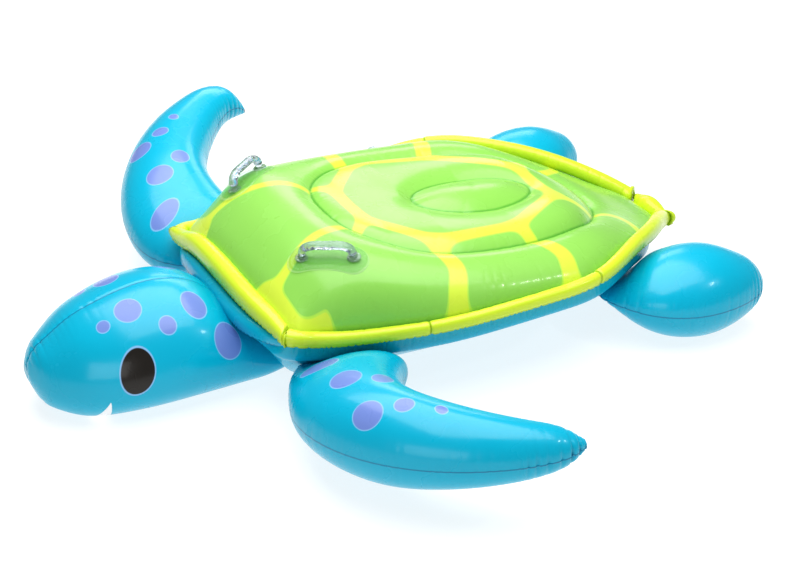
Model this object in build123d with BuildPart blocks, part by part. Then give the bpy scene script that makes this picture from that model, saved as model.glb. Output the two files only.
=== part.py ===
from build123d import *
from math import cos, pi, radians, sin
import os

os.makedirs("parts", exist_ok=True)

# ---------------------------------------------------------------------------
# Inflatable ride-on sea turtle.  Millimetres.  +Z is up, the head points
# towards -Y, the turtle's left side is +X and X = 0 is the plane of symmetry.
# Every air chamber is made of welded sheet panels, modelled as thin skins.
# ---------------------------------------------------------------------------

SKIN = 2.0             # modelled thickness of a welded sheet panel
PANEL_GAP = 0.2        # between neighbouring panels of the shell
WELD_GAP = 0.3         # running clearance left round every flexing root
PATCH_T = 1.0          # thickness of a clear handle patch
SEAM_GAP = 0.3         # between the two welded panels of a flipper

# Hull cross-sections, front to tail:
# y, half width at the weld, weld height, crown height, foot half width, foot height
HULL_STATIONS = [
    (-386, 304, 223, 240, 284, 207),
    (-374, 316, 223, 266, 262, 158),
    (-335, 326, 222, 314, 214, 78),
    (-270, 342, 221, 357, 170, 20),
    (-200, 360, 219, 375, 146, 0),
    (-120, 384, 218, 367, 142, 0),
    (0, 412, 217, 348, 146, 0),
    (140, 424, 217, 330, 150, 0),
    (290, 424, 216, 313, 152, 0),
    (385, 414, 213, 303, 150, 0),
    (460, 378, 207, 291, 142, 0),
    (560, 308, 194, 255, 124, 0),
    (657, 234, 172, 210, 98, 0),
    (755, 140, 138, 168, 64, 3),
    (815, 78, 108, 140, 44, 26),
    (838, 54, 94, 119, 34, 56),
]

# Share of half width and share of crown rise along the puffed top panel
CROWN_SHAPE = [(0.985, 0.30), (0.935, 0.57), (0.82, 0.82), (0.60, 0.95), (0.32, 0.992)]

# Plan outline of the welded crease between the outer ring and the riding pad
CREASE_HALF = [
    (0, -124), (100, -112), (180, -66), (240, 0), (268, 70), (278, 165),
    (276, 262), (262, 360), (212, 488), (152, 556), (80, 604),
]
CREASE_REAR = (0, 620)

SEAT_Y = 288           # centre of the oval seat well
SEAT_HALF_LENGTH = 166
SEAT_HALF_WIDTH = 90
SEAT_DROP = 24         # how far the seat panel sits below the pad
BAFFLE_INSET = 12      # of the baffle inside the crease
BAFFLE_DROP = 30       # baffle tops below the crown, where the welds pull the panels in

RIM_HALF_WIDTH = 14    # puffed rim strip, measured across
RIM_HALF_HEIGHT = 18
RIM_LIFT = 14          # centre of the rim strip above the weld
RIM_GAP = 4.0          # between a side strip and the hull skin

# Head cross-sections: y, half width, underside height, crown height
HEAD_STATIONS = [
    (-884, 22, 95, 130),
    (-872, 52, 62, 154),
    (-840, 98, 26, 185),
    (-785, 144, 5, 222),
    (-728, 172, 0, 246),
    (-650, 192, 0, 267),
    (-584, 197, 0, 274),
    (-520, 195, 0, 268),
    (-455, 188, 0, 246),
    (-405, 180, 2, 214),
    (-350, 170, 4, 170),
    (-300, 158, 14, 120),
    (-262, 142, 30, 74),
]

# Flipper cross-sections, root to tip, on the left side: centre x, y, chord
# heading in degrees from +X, half chord, half thickness.
FRONT_FLIPPER = [
    (292, -236, -106, 90, 9),
    (322, -245, -104, 106, 26),
    (352, -250, -100, 124, 46),
    (402, -260, -94, 144, 80),
    (470, -289, -84, 146, 98),
    (568, -304, -69, 128, 104),
    (664, -280, -51, 109, 104),
    (751, -218, -38, 95, 92),
    (822, -136, -25, 78, 75),
    (873, -48, -15, 58, 55),
    (902, 14, -10, 36, 33),
    (916, 48, -8, 12, 10),
]
REAR_FLIPPER = [
    (276, 543, -62, 82, 9),
    (301, 558, -56, 98, 28),
    (318, 580, -51, 116, 56),
    (356, 618, -42, 134, 92),
    (394, 684, -27, 138, 110),
    (412, 758, -14, 118, 104),
    (420, 820, -6, 88, 78),
    (426, 862, -4, 50, 45),
    (429, 882, -2, 16, 14),
]

FLIPPER_ROOT_Z = 112   # height of the weld where a flipper joins the flank
LEFT_DIHEDRAL = 6.0    # degrees the left front flipper rises outwards
RIGHT_DIHEDRAL = 10.0  # the right one rests a little higher
RIGHT_SWEEP = 26       # and its bend lies further out
RIGHT_LEAD = 10        # and further forward

# Handles: centre on the outer ring and the heading of the grip, left side
HANDLE_X = 232
HANDLE_Y = -224
HANDLE_HEADING = 54
HANDLE_SPACING = 116   # between the two feet
HANDLE_RISE = 30       # from the feet to the middle of the grip
GRIP_HALF_WIDTH = 9
GRIP_HALF_THICK = 4
FOOT_BALL = 5.5
FOOT_RADIUS = 17
FOOT_T = 1.2
PATCH_LENGTH = 190
PATCH_WIDTH = 82

# Air valves: flange, neck, stopper
VALVE_FLANGE_R = 22
VALVE_FLANGE_T = 2
VALVE_NECK_R = 8
VALVE_BORE_R = 5.5
VALVE_NECK_OUT = 9
VALVE_NECK_IN = 16
STOPPER_R = 4.9
STOPPER_TIP_R = 4.3
STOPPER_DEPTH = 5
CAP_R = 10
CAP_T = 2
STRAP_REACH = 17
STRAP_HALF_WIDTH = 3
STRAP_T = 1.2
LUG_R = 1.6

TALL = 600             # taller than the float, for cutting prisms
WIDE = 2400            # wider than the float


def smooth_loft(stations, draw):
    """Loft one closed section per station; draw() returns the section's face."""
    with BuildPart() as body:
        for station in stations:
            add(draw(station))
        loft()
    return body.part


def upper_section(station, grow, chord_drop):
    """Top half of a hull section: from weld to weld over the crown."""
    y, half, weld, crown, _, _ = station
    half = half + grow
    crown = crown + grow
    chord = weld - chord_drop
    right = [(half * fx, weld + (crown - weld) * fz) for fx, fz in CROWN_SHAPE]
    left = [(-x, z) for x, z in reversed(right)]
    arc = [(half, weld)] + right + [(0, crown)] + left + [(-half, weld)]
    with BuildSketch(Plane.XZ.offset(-y)) as section:
        with BuildLine():
            Spline(*arc)
            Polyline((-half, weld), (-half, chord), (half, chord), (half, weld))
        make_face()
    return section.sketch


def lower_section(station, grow, chord_lift):
    """Bottom half of a hull section: from weld to weld under the foot."""
    y, half, weld, _, foot, foot_z = station
    half = half + grow
    foot = foot + grow
    foot_z = foot_z - grow
    chord = weld + chord_lift
    reach = half - foot
    fall = weld - foot_z
    side = [
        (half, weld),
        (half - 0.13 * reach, weld - 0.22 * fall),
        (half - 0.38 * reach, weld - 0.52 * fall),
        (half - 0.69 * reach, weld - 0.81 * fall),
        (foot, foot_z),
    ]
    with BuildSketch(Plane.XZ.offset(-y)) as section:
        with BuildLine():
            Spline(*side)
            Line((foot, foot_z), (-foot, foot_z))
            Spline(*[(-x, z) for x, z in reversed(side)])
            Polyline((-half, weld), (-half, chord), (half, chord), (half, weld))
        make_face()
    return section.sketch


def shifted_ends(stations, grow):
    """Move the first and last sections so the end walls keep their thickness."""
    first, last = stations[0], stations[-1]
    middle = stations[1:-1]
    return [(first[0] - grow,) + tuple(first[1:])] + middle + [(last[0] + grow,) + tuple(last[1:])]


def upper_hull(grow=0.0, chord_drop=0.001):
    return smooth_loft(shifted_ends(HULL_STATIONS, grow), lambda s: upper_section(s, grow, chord_drop))


def lower_hull(grow=0.0, chord_lift=0.001):
    return smooth_loft(shifted_ends(HULL_STATIONS, grow), lambda s: lower_section(s, grow, chord_lift))


def hull_at(y):
    """Linear look-up of a hull station's values at a given y."""
    for a, b in zip(HULL_STATIONS, HULL_STATIONS[1:]):
        if a[0] <= y <= b[0]:
            t = (y - a[0]) / (b[0] - a[0])
            return [p + (q - p) * t for p, q in zip(a, b)]
    raise ValueError("outside the hull")


def crease_prism(grow, low, high):
    right = [(x + (grow if x else 0), y) for x, y in CREASE_HALF]
    right[0] = (0, CREASE_HALF[0][1] - grow)
    rear = (0, CREASE_REAR[1] + grow)
    left = [(-x, y) for x, y in reversed(right[1:])]
    with BuildPart() as prism:
        with BuildSketch(Plane.XY.offset(low)):
            with BuildLine():
                Spline(*(right + [rear] + left), periodic=True)
            make_face()
        extrude(amount=high - low)
    return prism.part


def seat_prism(grow, low, high):
    with BuildPart() as prism:
        with BuildSketch(Plane.XY.offset(low)):
            with Locations((0, SEAT_Y)):
                Ellipse(SEAT_HALF_WIDTH + grow, SEAT_HALF_LENGTH + grow)
        extrude(amount=high - low)
    return prism.part


def head_section(station, grow):
    y, half, low, high = station
    half, low, high = half + grow, low - grow, high + grow
    tall = high - low
    waist = low + 0.43 * tall
    right = [
        (0, high),
        (0.40 * half, high - 0.045 * tall),
        (0.78 * half, high - 0.22 * tall),
        (half, waist),
        (0.86 * half, low + 0.16 * tall),
        (0.52 * half, low + 0.025 * tall),
        (0, low),
    ]
    left = [(-x, z) for x, z in reversed(right[1:-1])]
    with BuildSketch(Plane.XZ.offset(-y)) as section:
        with BuildLine():
            Spline(*(right + left), periodic=True)
        make_face()
    return section.sketch


def head_solid(grow=0.0):
    return smooth_loft(shifted_ends(HEAD_STATIONS, grow), lambda s: head_section(s, grow))


def swept_out(stations):
    """The right front flipper's stations: its bend lies further out and forward."""
    last = len(stations) - 1
    swept = []
    for number, (x, y, chord_heading, half, thick) in enumerate(stations):
        share = sin(pi * number / last)
        swept.append((x + RIGHT_SWEEP * share, y - RIGHT_LEAD * share, chord_heading, half, thick))
    return swept


def flipper_plane(station, origin_x, dihedral):
    """Section plane across a flipper: local x runs along the chord."""
    x, y, heading, _, _ = station
    z = FLIPPER_ROOT_Z + (x - origin_x) * sin(radians(dihedral))
    chord = Vector(cos(radians(heading)), sin(radians(heading)), 0)
    outward = Vector(-chord.Y, chord.X, 0)
    return Plane(origin=(x, y, z), x_dir=chord, z_dir=outward)


def flipper_half(stations, dihedral, side, grow=0.0, drop=0.0):
    """One half of a flipper, above (side 1) or below (side -1) its seam."""
    seam = side * SEAM_GAP / 2
    chord = seam - side * (0.001 + drop)
    with BuildPart() as body:
        for station in stations:
            half, thick = station[3] + grow, station[4] + grow
            arc = [(half * cos(radians(a)), seam + side * thick * sin(radians(a))) for a in range(0, 181, 30)]
            with BuildSketch(flipper_plane(station, stations[0][0], dihedral)):
                with BuildLine():
                    Spline(*arc)
                    Polyline((-half, seam), (-half, chord), (half, chord), (half, seam))
                make_face()
        loft()
    return body.part


def mirrored(part):
    return mirror(part, about=Plane.YZ)


def save(part, label):
    part.label = label
    export_step(part, "parts/" + label + ".step")


# --------------------------------------------------------------- hull skins
top_outer = upper_hull()
top_inner = upper_hull(-SKIN, 6)
bottom_outer = lower_hull()
bottom_inner = lower_hull(-SKIN, 6)
below_floor = Box(WIDE, WIDE, 200, align=(Align.CENTER, Align.CENTER, Align.MAX))


def skin_frame(solid, start, heading, x_dir, depth=0.0):
    """Plane tangent to a skin where a ray first meets it, sunk by depth."""
    hits = solid.find_intersection_points(Axis(start, heading))
    point, normal = min(hits, key=lambda hit: (hit[0] - Vector(*start)).length)
    if normal.dot(Vector(*heading)) > 0:
        normal = normal * -1
    return Plane(origin=point - normal * depth, x_dir=x_dir, z_dir=normal)


def valve_hole(plane):
    with BuildPart() as hole:
        with BuildSketch(plane.offset(-14)):
            Circle(VALVE_FLANGE_R + 0.1)
        extrude(amount=28)
    return hole.part


def valve_body(plane):
    """Soft flange and neck with a bored throat, and the lug that holds the strap."""
    with BuildPart() as body:
        with BuildSketch(plane.offset(-VALVE_FLANGE_T)):
            Circle(VALVE_FLANGE_R)
        extrude(amount=VALVE_FLANGE_T)
        with BuildSketch(plane.offset(-VALVE_NECK_IN)):
            Circle(VALVE_NECK_R)
        extrude(amount=VALVE_NECK_IN + VALVE_NECK_OUT)
        with BuildSketch(plane.offset(-VALVE_NECK_IN)):
            Circle(VALVE_BORE_R)
        extrude(amount=VALVE_NECK_IN + VALVE_NECK_OUT, mode=Mode.SUBTRACT)
        with BuildSketch(plane):
            with Locations((STRAP_REACH, 0)):
                Rectangle(3.2, 6)
        extrude(amount=VALVE_NECK_OUT - 1.2)
    return body.part


def valve_plug(plane):
    """Tapered stopper, finger cap and strap, moving as one about the strap root."""
    with BuildPart() as plug:
        with BuildSketch(plane.offset(VALVE_NECK_OUT - STOPPER_DEPTH)):
            Circle(STOPPER_TIP_R)
        with BuildSketch(plane.offset(VALVE_NECK_OUT + 0.3)):
            Circle(STOPPER_R)
        loft()
        with BuildSketch(plane.offset(VALVE_NECK_OUT + 0.3)):
            Circle(CAP_R)
        extrude(amount=CAP_T)
        with BuildSketch(plane.offset(VALVE_NECK_OUT + 0.3)):
            with Locations((STRAP_REACH / 2 + 2, 0)):
                Rectangle(STRAP_REACH - 4, 2 * STRAP_HALF_WIDTH)
        extrude(amount=STRAP_T)
        with BuildSketch(Plane(origin=plane.from_local_coords((STRAP_REACH, -STRAP_HALF_WIDTH, VALVE_NECK_OUT + 0.9)),
                               x_dir=plane.x_dir, z_dir=plane.y_dir)):
            Circle(LUG_R)
        extrude(amount=2 * STRAP_HALF_WIDTH)
    return plug.part


def valve_flap(plane):
    """Soft check flap under the neck that stops the air escaping."""
    with BuildPart() as flap:
        with BuildSketch(plane.offset(-VALVE_NECK_IN - 1.4)):
            Circle(VALVE_NECK_R - 0.4)
        extrude(amount=1)
    return flap.part


# One air valve per chamber, both on the right-hand flank, square to the skin.
TOP_VALVE = skin_frame(top_outer, (-900, 215, 264), (1, 0, 0), (0, 1, 0), 1.5)
LOW_VALVE = skin_frame(bottom_outer, (-900, 60, 130), (1, 0, 0), (0, 1, 0), 1.5)

top_hole = valve_hole(TOP_VALVE)
low_hole = valve_hole(LOW_VALVE)
inside_crease = crease_prism(0.0, 0, TALL)
pad_outline = crease_prism(-PANEL_GAP, 0, TALL)
seat_opening = seat_prism(0.0, 0, TALL)
seat_outline = seat_prism(-SKIN - PANEL_GAP, 0, TALL)

with BuildPart() as top_skin:
    add(top_outer)
    add(top_inner, mode=Mode.SUBTRACT)
    add(top_hole, mode=Mode.SUBTRACT)

with BuildPart() as outer_ring_panel:
    add(top_skin.part)
    add(inside_crease, mode=Mode.SUBTRACT)
save(outer_ring_panel.part, "outer_ring_panel")

with BuildPart() as pad_panel:
    add(top_skin.part)
    add(pad_outline, mode=Mode.INTERSECT)
    add(seat_opening, mode=Mode.SUBTRACT)
save(pad_panel.part, "pad_panel")

with BuildPart() as seat_panel:
    add(top_skin.part)
    add(seat_outline, mode=Mode.INTERSECT)
seat_lowered = Pos(0, 0, -SEAT_DROP) * seat_panel.part
save(seat_lowered, "seat_panel")

with BuildPart() as flank_band:
    add(bottom_outer)
    add(bottom_inner, mode=Mode.SUBTRACT)
    add(low_hole, mode=Mode.SUBTRACT)
    Box(WIDE, WIDE, 2 * SKIN, mode=Mode.SUBTRACT)
save(flank_band.part, "flank_band")

with BuildPart() as bottom_panel:
    foot = [(s[4] - 0.4, s[0]) for s in HULL_STATIONS if s[5] == 0]
    with BuildSketch():
        with BuildLine():
            Spline(*foot)
            Polyline(foot[-1], (-foot[-1][0], foot[-1][1]))
            Spline(*[(-x, y) for x, y in reversed(foot)])
            Polyline((-foot[0][0], foot[0][1]), foot[0])
        make_face()
    extrude(amount=SKIN)
save(bottom_panel.part, "bottom_panel")

# ----------------------------------------------------------------- baffles
air_above = Pos(0, 0, -BAFFLE_DROP) * top_inner
air_below = lower_hull(-SKIN - PANEL_GAP, 5)


def baffle(wall):
    """Keep the part of an upright wall that lies inside the air chamber."""
    return (wall & air_above) + (wall & air_below)


crease_wall = crease_prism(-BAFFLE_INSET, SKIN + 0.3, 500) - crease_prism(-BAFFLE_INSET - SKIN, 0, TALL)
crease_baffle = baffle(crease_wall)
save(crease_baffle, "crease_baffle")

seat_wall = seat_prism(0.0, SKIN + 0.3, 500) - seat_prism(-SKIN, 0, TALL)
seat_baffle = baffle(seat_wall)
save(seat_baffle, "seat_baffle")

# --------------------------------------------------------------- rim strips


def side_rim_stations(start, stop):
    ys = [start] + [s[0] for s in HULL_STATIONS if start < s[0] < stop] + [stop]
    return [hull_at(y) for y in ys]


def side_rim(start, stop):
    """One puffed strip of the left rim, lofted between two cross seams."""
    with BuildPart() as strip:
        for station in side_rim_stations(start, stop):
            with BuildSketch(Plane.XZ.offset(-station[0])):
                with Locations((station[1] + RIM_HALF_WIDTH + RIM_GAP, station[2] + RIM_LIFT)):
                    Ellipse(RIM_HALF_WIDTH, RIM_HALF_HEIGHT)
        loft()
    return strip.part


def end_rim(y, weld, half):
    """The strip across the front or the tail."""
    with BuildPart() as strip:
        with BuildSketch(Plane.YZ.offset(-half)):
            with Locations((y, weld + RIM_LIFT)):
                Ellipse(RIM_HALF_WIDTH, RIM_HALF_HEIGHT)
        extrude(amount=2 * half)
    return strip.part


RIM_CORNER = -386
RIM_FRONT_SEAM = -60
RIM_REAR_SEAM = 385
RIM_TAIL_SEAM = 838
FRONT_RIM_Y, FRONT_RIM_WELD, FRONT_RIM_HALF = -401, 223, 318
TAIL_RIM_Y, TAIL_RIM_WELD, TAIL_RIM_HALF = 853, 94, 68

shoulder_rim = side_rim(RIM_CORNER, RIM_FRONT_SEAM)
waist_rim = side_rim(RIM_FRONT_SEAM, RIM_REAR_SEAM)
haunch_rim = side_rim(RIM_REAR_SEAM, RIM_TAIL_SEAM)

for strip, name in ((shoulder_rim, "shoulder"), (waist_rim, "waist"), (haunch_rim, "haunch")):
    save(strip, "rim_" + name + "_left")
    save(mirrored(strip), "rim_" + name + "_right")

save(end_rim(FRONT_RIM_Y, FRONT_RIM_WELD, FRONT_RIM_HALF), "rim_front")
save(end_rim(TAIL_RIM_Y, TAIL_RIM_WELD, TAIL_RIM_HALF), "rim_tail")

# ---------------------------------------------------------------- head skins
head_outer = head_solid()
head_inner = head_solid(-SKIN)
hull_clearance = lower_hull(WELD_GAP)
with BuildPart() as head_skin:
    add(head_outer)
    add(head_inner, mode=Mode.SUBTRACT)
    add(hull_clearance, mode=Mode.SUBTRACT)
    add(below_floor, mode=Mode.SUBTRACT)

with BuildPart() as head_left_panel:
    add(head_skin.part)
    split(bisect_by=Plane.YZ, keep=Keep.TOP)
save(head_left_panel.part, "head_left_panel")

with BuildPart() as head_right_panel:
    add(head_skin.part)
    split(bisect_by=Plane.YZ, keep=Keep.BOTTOM)
save(head_right_panel.part, "head_right_panel")

# ------------------------------------------------------------- flipper skins


def flipper_skin(stations, dihedral, side):
    """Upper or lower welded panel of a flipper."""
    outer = flipper_half(stations, dihedral, side)
    inner = flipper_half(stations, dihedral, side, -SKIN, 3)
    with BuildPart() as skin:
        add(outer)
        add(inner, mode=Mode.SUBTRACT)
    return skin.part


save(flipper_skin(FRONT_FLIPPER, LEFT_DIHEDRAL, 1), "front_flipper_left_top")
save(flipper_skin(FRONT_FLIPPER, LEFT_DIHEDRAL, -1), "front_flipper_left_bottom")
right_front = swept_out(FRONT_FLIPPER)
save(mirrored(flipper_skin(right_front, RIGHT_DIHEDRAL, 1)), "front_flipper_right_top")
save(mirrored(flipper_skin(right_front, RIGHT_DIHEDRAL, -1)), "front_flipper_right_bottom")

rear_top = flipper_skin(REAR_FLIPPER, 0, 1)
rear_bottom = flipper_skin(REAR_FLIPPER, 0, -1)
save(rear_top, "rear_flipper_left_top")
save(rear_bottom, "rear_flipper_left_bottom")
save(mirrored(rear_top), "rear_flipper_right_top")
save(mirrored(rear_bottom), "rear_flipper_right_bottom")

# -------------------------------------------------------------------- valves
for chamber, plane in (("top", TOP_VALVE), ("low", LOW_VALVE)):
    save(valve_body(plane), chamber + "_valve_body")
    save(valve_plug(plane), chamber + "_valve_plug")
    save(valve_flap(plane), chamber + "_valve_flap")

# ------------------------------------------------------------------- handles
heading = Vector(cos(radians(HANDLE_HEADING)), sin(radians(HANDLE_HEADING)), 0)
handle_frame = skin_frame(top_outer, (HANDLE_X, HANDLE_Y, 900), (0, 0, -1), heading)
foot_step = heading * (HANDLE_SPACING / 2)
handle_spot = Vector(HANDLE_X, HANDLE_Y, 900)
foot_frames = [
    skin_frame(top_outer, tuple(handle_spot + foot_step * side), (0, 0, -1), heading, -PATCH_T - 0.1)
    for side in (-1, 1)
]
ball_centres = [f.origin + f.z_dir * (FOOT_T + FOOT_BALL + 0.4) for f in foot_frames]
grip_axis = (ball_centres[1] - ball_centres[0]).normalized()
grip_normal = (handle_frame.z_dir - grip_axis * handle_frame.z_dir.dot(grip_axis)).normalized()
grip_middle = (ball_centres[0] + ball_centres[1]) * 0.5 + grip_normal * HANDLE_RISE
grip_side = grip_axis.cross(grip_normal)


def grip_point(along, up):
    middle = (ball_centres[0] + ball_centres[1]) * 0.5
    return middle + grip_axis * along + grip_normal * up


patch_layer = upper_hull(PATCH_T) - top_outer
with BuildPart() as patch_left:
    with BuildSketch(handle_frame.offset(-30)):
        SlotOverall(PATCH_LENGTH, PATCH_WIDTH)
    extrude(amount=60)
    add(patch_layer, mode=Mode.INTERSECT)
save(patch_left.part, "handle_patch_left")

foot_parts = []
for frame in foot_frames:
    with BuildPart() as foot_disc:
        with BuildSketch(frame):
            Circle(FOOT_RADIUS)
        extrude(amount=FOOT_T)
    foot_parts.append(foot_disc.part)

half_span = HANDLE_SPACING / 2
grip_rail = [(-half_span, 0), (-half_span + 6, 0.62 * HANDLE_RISE), (-half_span + 24, 0.96 * HANDLE_RISE),
             (0, HANDLE_RISE), (half_span - 24, 0.96 * HANDLE_RISE), (half_span - 6, 0.62 * HANDLE_RISE),
             (half_span, 0)]
with BuildPart() as grip_left:
    with BuildLine() as rail:
        Spline(*[grip_point(a, u) for a, u in grip_rail])
    start = rail.line @ 0
    with BuildSketch(Plane(origin=start, x_dir=grip_side, z_dir=rail.line % 0)):
        Ellipse(GRIP_HALF_WIDTH, GRIP_HALF_THICK)
    sweep(path=rail.line)
    for centre in ball_centres:
        with Locations(centre):
            Sphere(FOOT_BALL)
save(grip_left.part, "handle_grip_left")
for part, name in zip(foot_parts, ("handle_foot_front_left", "handle_foot_rear_left")):
    save(part, name)

save(mirrored(patch_left.part), "handle_patch_right")
save(mirrored(grip_left.part), "handle_grip_right")
for part, name in zip(foot_parts, ("handle_foot_front_right", "handle_foot_rear_right")):
    save(mirrored(part), name)
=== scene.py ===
import math

import bmesh
import bpy
import numpy as np
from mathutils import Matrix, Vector


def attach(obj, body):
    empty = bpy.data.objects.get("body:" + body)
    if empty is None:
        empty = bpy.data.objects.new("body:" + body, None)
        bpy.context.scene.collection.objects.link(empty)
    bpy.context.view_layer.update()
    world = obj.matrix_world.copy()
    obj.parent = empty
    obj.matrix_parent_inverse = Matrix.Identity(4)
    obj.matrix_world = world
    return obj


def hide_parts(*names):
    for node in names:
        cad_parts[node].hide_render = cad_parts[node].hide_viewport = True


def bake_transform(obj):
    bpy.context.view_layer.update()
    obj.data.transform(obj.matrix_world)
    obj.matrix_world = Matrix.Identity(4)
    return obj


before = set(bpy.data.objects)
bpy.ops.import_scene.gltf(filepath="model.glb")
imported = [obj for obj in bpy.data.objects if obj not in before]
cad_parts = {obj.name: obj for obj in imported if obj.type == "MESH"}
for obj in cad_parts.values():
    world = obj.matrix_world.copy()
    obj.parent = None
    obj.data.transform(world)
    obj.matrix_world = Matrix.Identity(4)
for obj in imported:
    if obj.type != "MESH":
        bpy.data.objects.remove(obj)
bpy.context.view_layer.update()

# Inflatable ride-on sea turtle.  Metres, +Z up, head towards -Y, the turtle's
# left side is +X and X = 0 is the plane of symmetry.

# Hull cross-sections, front to tail:
# y, half width at the weld, weld height, crown height, foot half width, foot height
HULL = np.array([
    (-0.386, 0.304, 0.221, 0.240, 0.284, 0.207),
    (-0.374, 0.316, 0.218, 0.266, 0.262, 0.158),
    (-0.335, 0.326, 0.208, 0.314, 0.214, 0.078),
    (-0.270, 0.342, 0.201, 0.357, 0.170, 0.020),
    (-0.200, 0.360, 0.197, 0.375, 0.146, 0.000),
    (-0.120, 0.384, 0.198, 0.367, 0.142, 0.000),
    (0.000, 0.412, 0.203, 0.348, 0.146, 0.000),
    (0.140, 0.424, 0.210, 0.330, 0.150, 0.000),
    (0.290, 0.424, 0.215, 0.313, 0.152, 0.000),
    (0.385, 0.414, 0.217, 0.303, 0.150, 0.000),
    (0.460, 0.378, 0.215, 0.291, 0.142, 0.000),
    (0.560, 0.308, 0.204, 0.255, 0.124, 0.000),
    (0.657, 0.234, 0.181, 0.210, 0.098, 0.000),
    (0.755, 0.140, 0.145, 0.168, 0.064, 0.003),
    (0.815, 0.078, 0.113, 0.140, 0.044, 0.026),
    (0.838, 0.054, 0.098, 0.119, 0.034, 0.056),
])
HULL_FRONT, HULL_REAR = HULL[0, 0], HULL[-1, 0]
SHELL_CENTRE = np.array((0.0, 0.25))

# How far the pad stands above the ring's crown line: y and height
PAD_LEVEL = [(-0.12, -0.004), (-0.03, -0.010), (0.10, 0.000), (0.30, 0.000), (0.45, 0.010), (0.60, 0.012)]

# Plan outline of the welded crease between outer ring and riding pad, left half
CREASE = [
    (0, -0.124), (0.100, -0.112), (0.180, -0.066), (0.240, 0), (0.268, 0.070), (0.278, 0.165),
    (0.276, 0.262), (0.262, 0.360), (0.212, 0.488), (0.152, 0.556), (0.080, 0.604), (0, 0.620),
]
CREASE_DEPTH, CREASE_WIDTH = 0.026, 0.028
SEAT_Y, SEAT_HALF_LENGTH, SEAT_HALF_WIDTH = 0.288, 0.166, 0.090
SEAT_DEPTH = 0.024

RIM_HALF_WIDTH, RIM_HALF_HEIGHT, RIM_OUT = 0.0140, 0.0150, 0.0145
RIM_SEAMS = (-0.386, -0.060, 0.385, 0.838)
# How far the foot of the side strips stands above the weld: y and height
RIM_STAND = np.array([(-0.386, 0.000), (-0.270, 0.001), (-0.120, 0.005), (0.000, 0.006), (0.140, 0.006),
                      (0.290, 0.005), (0.385, 0.010), (0.460, 0.012), (0.560, 0.010), (0.657, 0.008),
                      (0.755, 0.006), (0.838, 0.004)])
# How far the flank swells below its weld, where, and over what width
FLANK_PUFF, FLANK_PUFF_AT, FLANK_PUFF_REACH = 0.024, 0.032, 0.026
FRONT_RIM_Y, FRONT_RIM_WELD = -0.391, 0.221
TAIL_RIM_Y, TAIL_RIM_WELD = 0.850, 0.100
# Sagging corners of the front edge: plan position of the corner and its shift
SLUMP = [((-0.318, -0.386), (0.030, -0.006, -0.024)), ((0.318, -0.386), (0.004, 0.016, 0.000))]
SLUMP_REACH = 0.12
# Puffed bow under the front strip: its ends' place, its middle's drop and its ends' sweep back
BOW_Y, BOW_FOOT, BOW_SAG, BOW_SWEEP = -0.405, 0.199, 0.032, 0.030
PUCKER_PITCH, RIM_FOLD_PITCH, CREASE_FOLD_PITCH = 0.015, 0.030, 0.041
PATH_PITCH = 0.0025
BOTTOM_TOP = 0.0012      # faces below this belong to the bottom panel

# Head cross-sections: y, half width, underside height, crown height
HEAD = np.array([
    (-0.884, 0.022, 0.095, 0.130),
    (-0.872, 0.052, 0.062, 0.154),
    (-0.840, 0.098, 0.026, 0.185),
    (-0.785, 0.144, 0.005, 0.222),
    (-0.728, 0.172, 0.000, 0.246),
    (-0.650, 0.192, 0.000, 0.267),
    (-0.584, 0.197, 0.000, 0.274),
    (-0.520, 0.195, 0.000, 0.266),
    (-0.455, 0.188, 0.000, 0.234),
    (-0.405, 0.180, 0.002, 0.190),
    (-0.350, 0.170, 0.004, 0.150),
    (-0.300, 0.158, 0.014, 0.120),
])

# Flipper cross-sections, root to tip, on the left side: centre x, y, chord
# heading in degrees from +X, half chord, half thickness
FRONT_FLIPPER = np.array([
    (0.292, -0.236, -106, 0.090, 0.010),
    (0.322, -0.245, -104, 0.106, 0.026),
    (0.352, -0.250, -100, 0.124, 0.046),
    (0.402, -0.260, -94, 0.144, 0.080),
    (0.470, -0.289, -84, 0.146, 0.098),
    (0.568, -0.304, -69, 0.128, 0.104),
    (0.664, -0.280, -51, 0.109, 0.104),
    (0.751, -0.218, -38, 0.095, 0.092),
    (0.822, -0.136, -25, 0.078, 0.075),
    (0.873, -0.048, -15, 0.058, 0.055),
    (0.894, 0.008, -10, 0.036, 0.033),
    (0.905, 0.038, -8, 0.012, 0.010),
])
REAR_FLIPPER = np.array([
    (0.276, 0.543, -62, 0.082, 0.010),
    (0.301, 0.558, -56, 0.098, 0.028),
    (0.318, 0.580, -51, 0.116, 0.056),
    (0.356, 0.618, -42, 0.134, 0.092),
    (0.394, 0.684, -27, 0.138, 0.110),
    (0.412, 0.758, -14, 0.118, 0.104),
    (0.420, 0.820, -6, 0.088, 0.078),
    (0.426, 0.862, -4, 0.050, 0.045),
    (0.429, 0.882, -2, 0.016, 0.014),
])
FLIPPER_ROOT_Z = 0.112
LEFT_DIHEDRAL, RIGHT_DIHEDRAL = 6.0, 10.0
# The right front flipper bends further out and arches up before its tip
RIGHT_FRONT_FLIPPER = np.array([
    (0.292, -0.236, -106, 0.090, 0.010),
    (0.308, -0.257, -104, 0.107, 0.026),
    (0.324, -0.274, -100, 0.127, 0.046),
    (0.359, -0.296, -94, 0.149, 0.080),
    (0.438, -0.318, -84, 0.152, 0.098),
    (0.557, -0.317, -69, 0.133, 0.104),
    (0.674, -0.278, -51, 0.113, 0.104),
    (0.770, -0.211, -38, 0.098, 0.092),
    (0.850, -0.125, -25, 0.081, 0.075),
    (0.905, -0.035, -15, 0.061, 0.055),
    (0.918, 0.021, -10, 0.038, 0.033),
    (0.916, 0.048, -8, 0.013, 0.010),
])
RIGHT_ARCH = (0, 0, 0, 0.001, 0.006, 0.013, 0.020, 0.029, 0.039, 0.043, 0.024, 0.004)

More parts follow.
